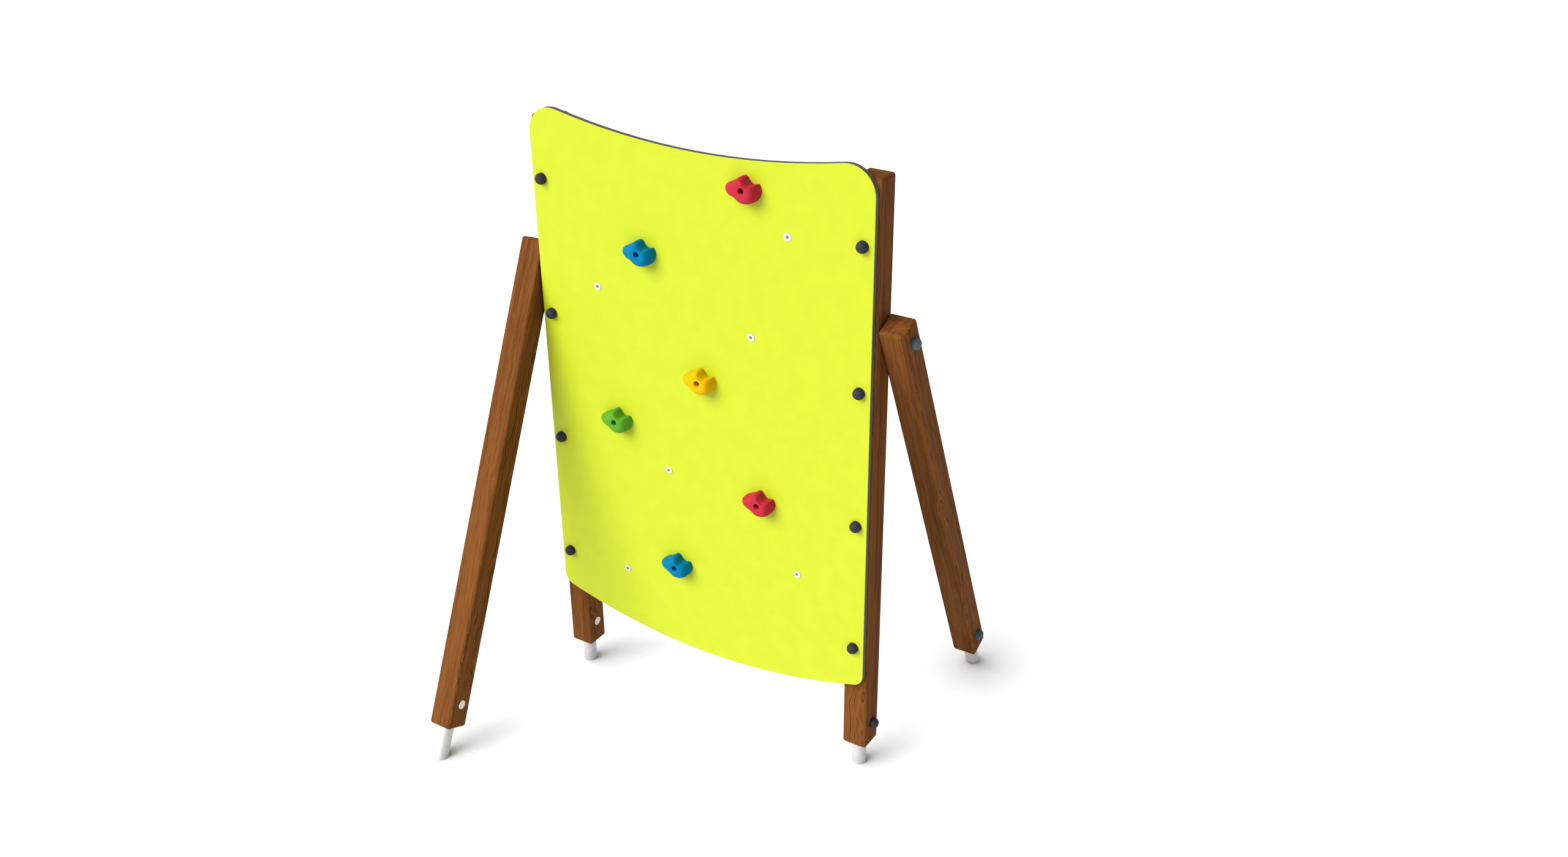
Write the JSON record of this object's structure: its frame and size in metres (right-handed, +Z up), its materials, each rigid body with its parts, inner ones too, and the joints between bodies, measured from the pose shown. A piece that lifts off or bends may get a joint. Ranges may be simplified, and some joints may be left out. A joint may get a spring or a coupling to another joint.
{
  "type": "rock climbing wall",
  "caption": "Free-standing climbing panel with bolted cast holds, carried by two timber posts and two slanting timber braces on steel foot tubes.",
  "frame": {"origin": "on the ground, half-way between the two posts", "axes": "+X to the right along the wall as a climber faces it, +Y to the back, +Z up; climbers face the -Y side"},
  "size_m": [1.496, 1.5463, 2.1823],
  "materials": {
    "timber": "brown-stained glued softwood, satin",
    "galvanised_steel": "hot-dip galvanised tube",
    "panel": "two-colour sheet: lime skins on a grey core, fine matt texture",
    "zinc_plated_steel": "zinc-plated fasteners",
    "black_plastic": "black moulded caps and washers",
    "slate_plastic": "slate-grey moulded caps and washers",
    "red_resin": "cast resin, fine grit",
    "blue_resin": "cast resin, fine grit",
    "yellow_resin": "cast resin, fine grit",
    "green_resin": "cast resin, fine grit"
  },
  "bodies": {
    "root": {"left_post": "timber", "left_brace": "timber", "left_post_foot_tube": "galvanised_steel", "left_brace_foot_tube": "galvanised_steel", "right_post": "timber", "right_brace": "timber", "right_post_foot_tube": "galvanised_steel", "right_brace_foot_tube": "galvanised_steel", "climbing_panel": "panel", "panel_bolts": "zinc_plated_steel", "panel_cap_washers": "black_plastic", "panel_caps": "black_plastic", "panel_sleeve_nuts": "zinc_plated_steel", "post_foot_bolts": "zinc_plated_steel", "post_foot_cap_washers": "black_plastic", "post_foot_caps": "black_plastic", "post_foot_sleeve_nuts": "zinc_plated_steel", "brace_foot_bolts": "zinc_plated_steel", "brace_foot_cap_washers": "slate_plastic", "brace_foot_caps": "slate_plastic", "brace_foot_sleeve_nuts": "zinc_plated_steel", "brace_head_bolts": "zinc_plated_steel", "brace_head_cap_washers": "slate_plastic", "brace_head_caps": "slate_plastic", "brace_head_sleeve_nuts": "zinc_plated_steel", "hold_red_high": "red_resin", "hold_blue_high": "blue_resin", "hold_yellow_mid": "yellow_resin", "hold_green_mid": "green_resin", "hold_red_low": "red_resin", "hold_blue_low": "blue_resin", "hold_bolts": "zinc_plated_steel", "hold_washers": "zinc_plated_steel", "hold_inserts": "zinc_plated_steel", "spare_inserts": "zinc_plated_steel"}
  },
  "joints": []
}
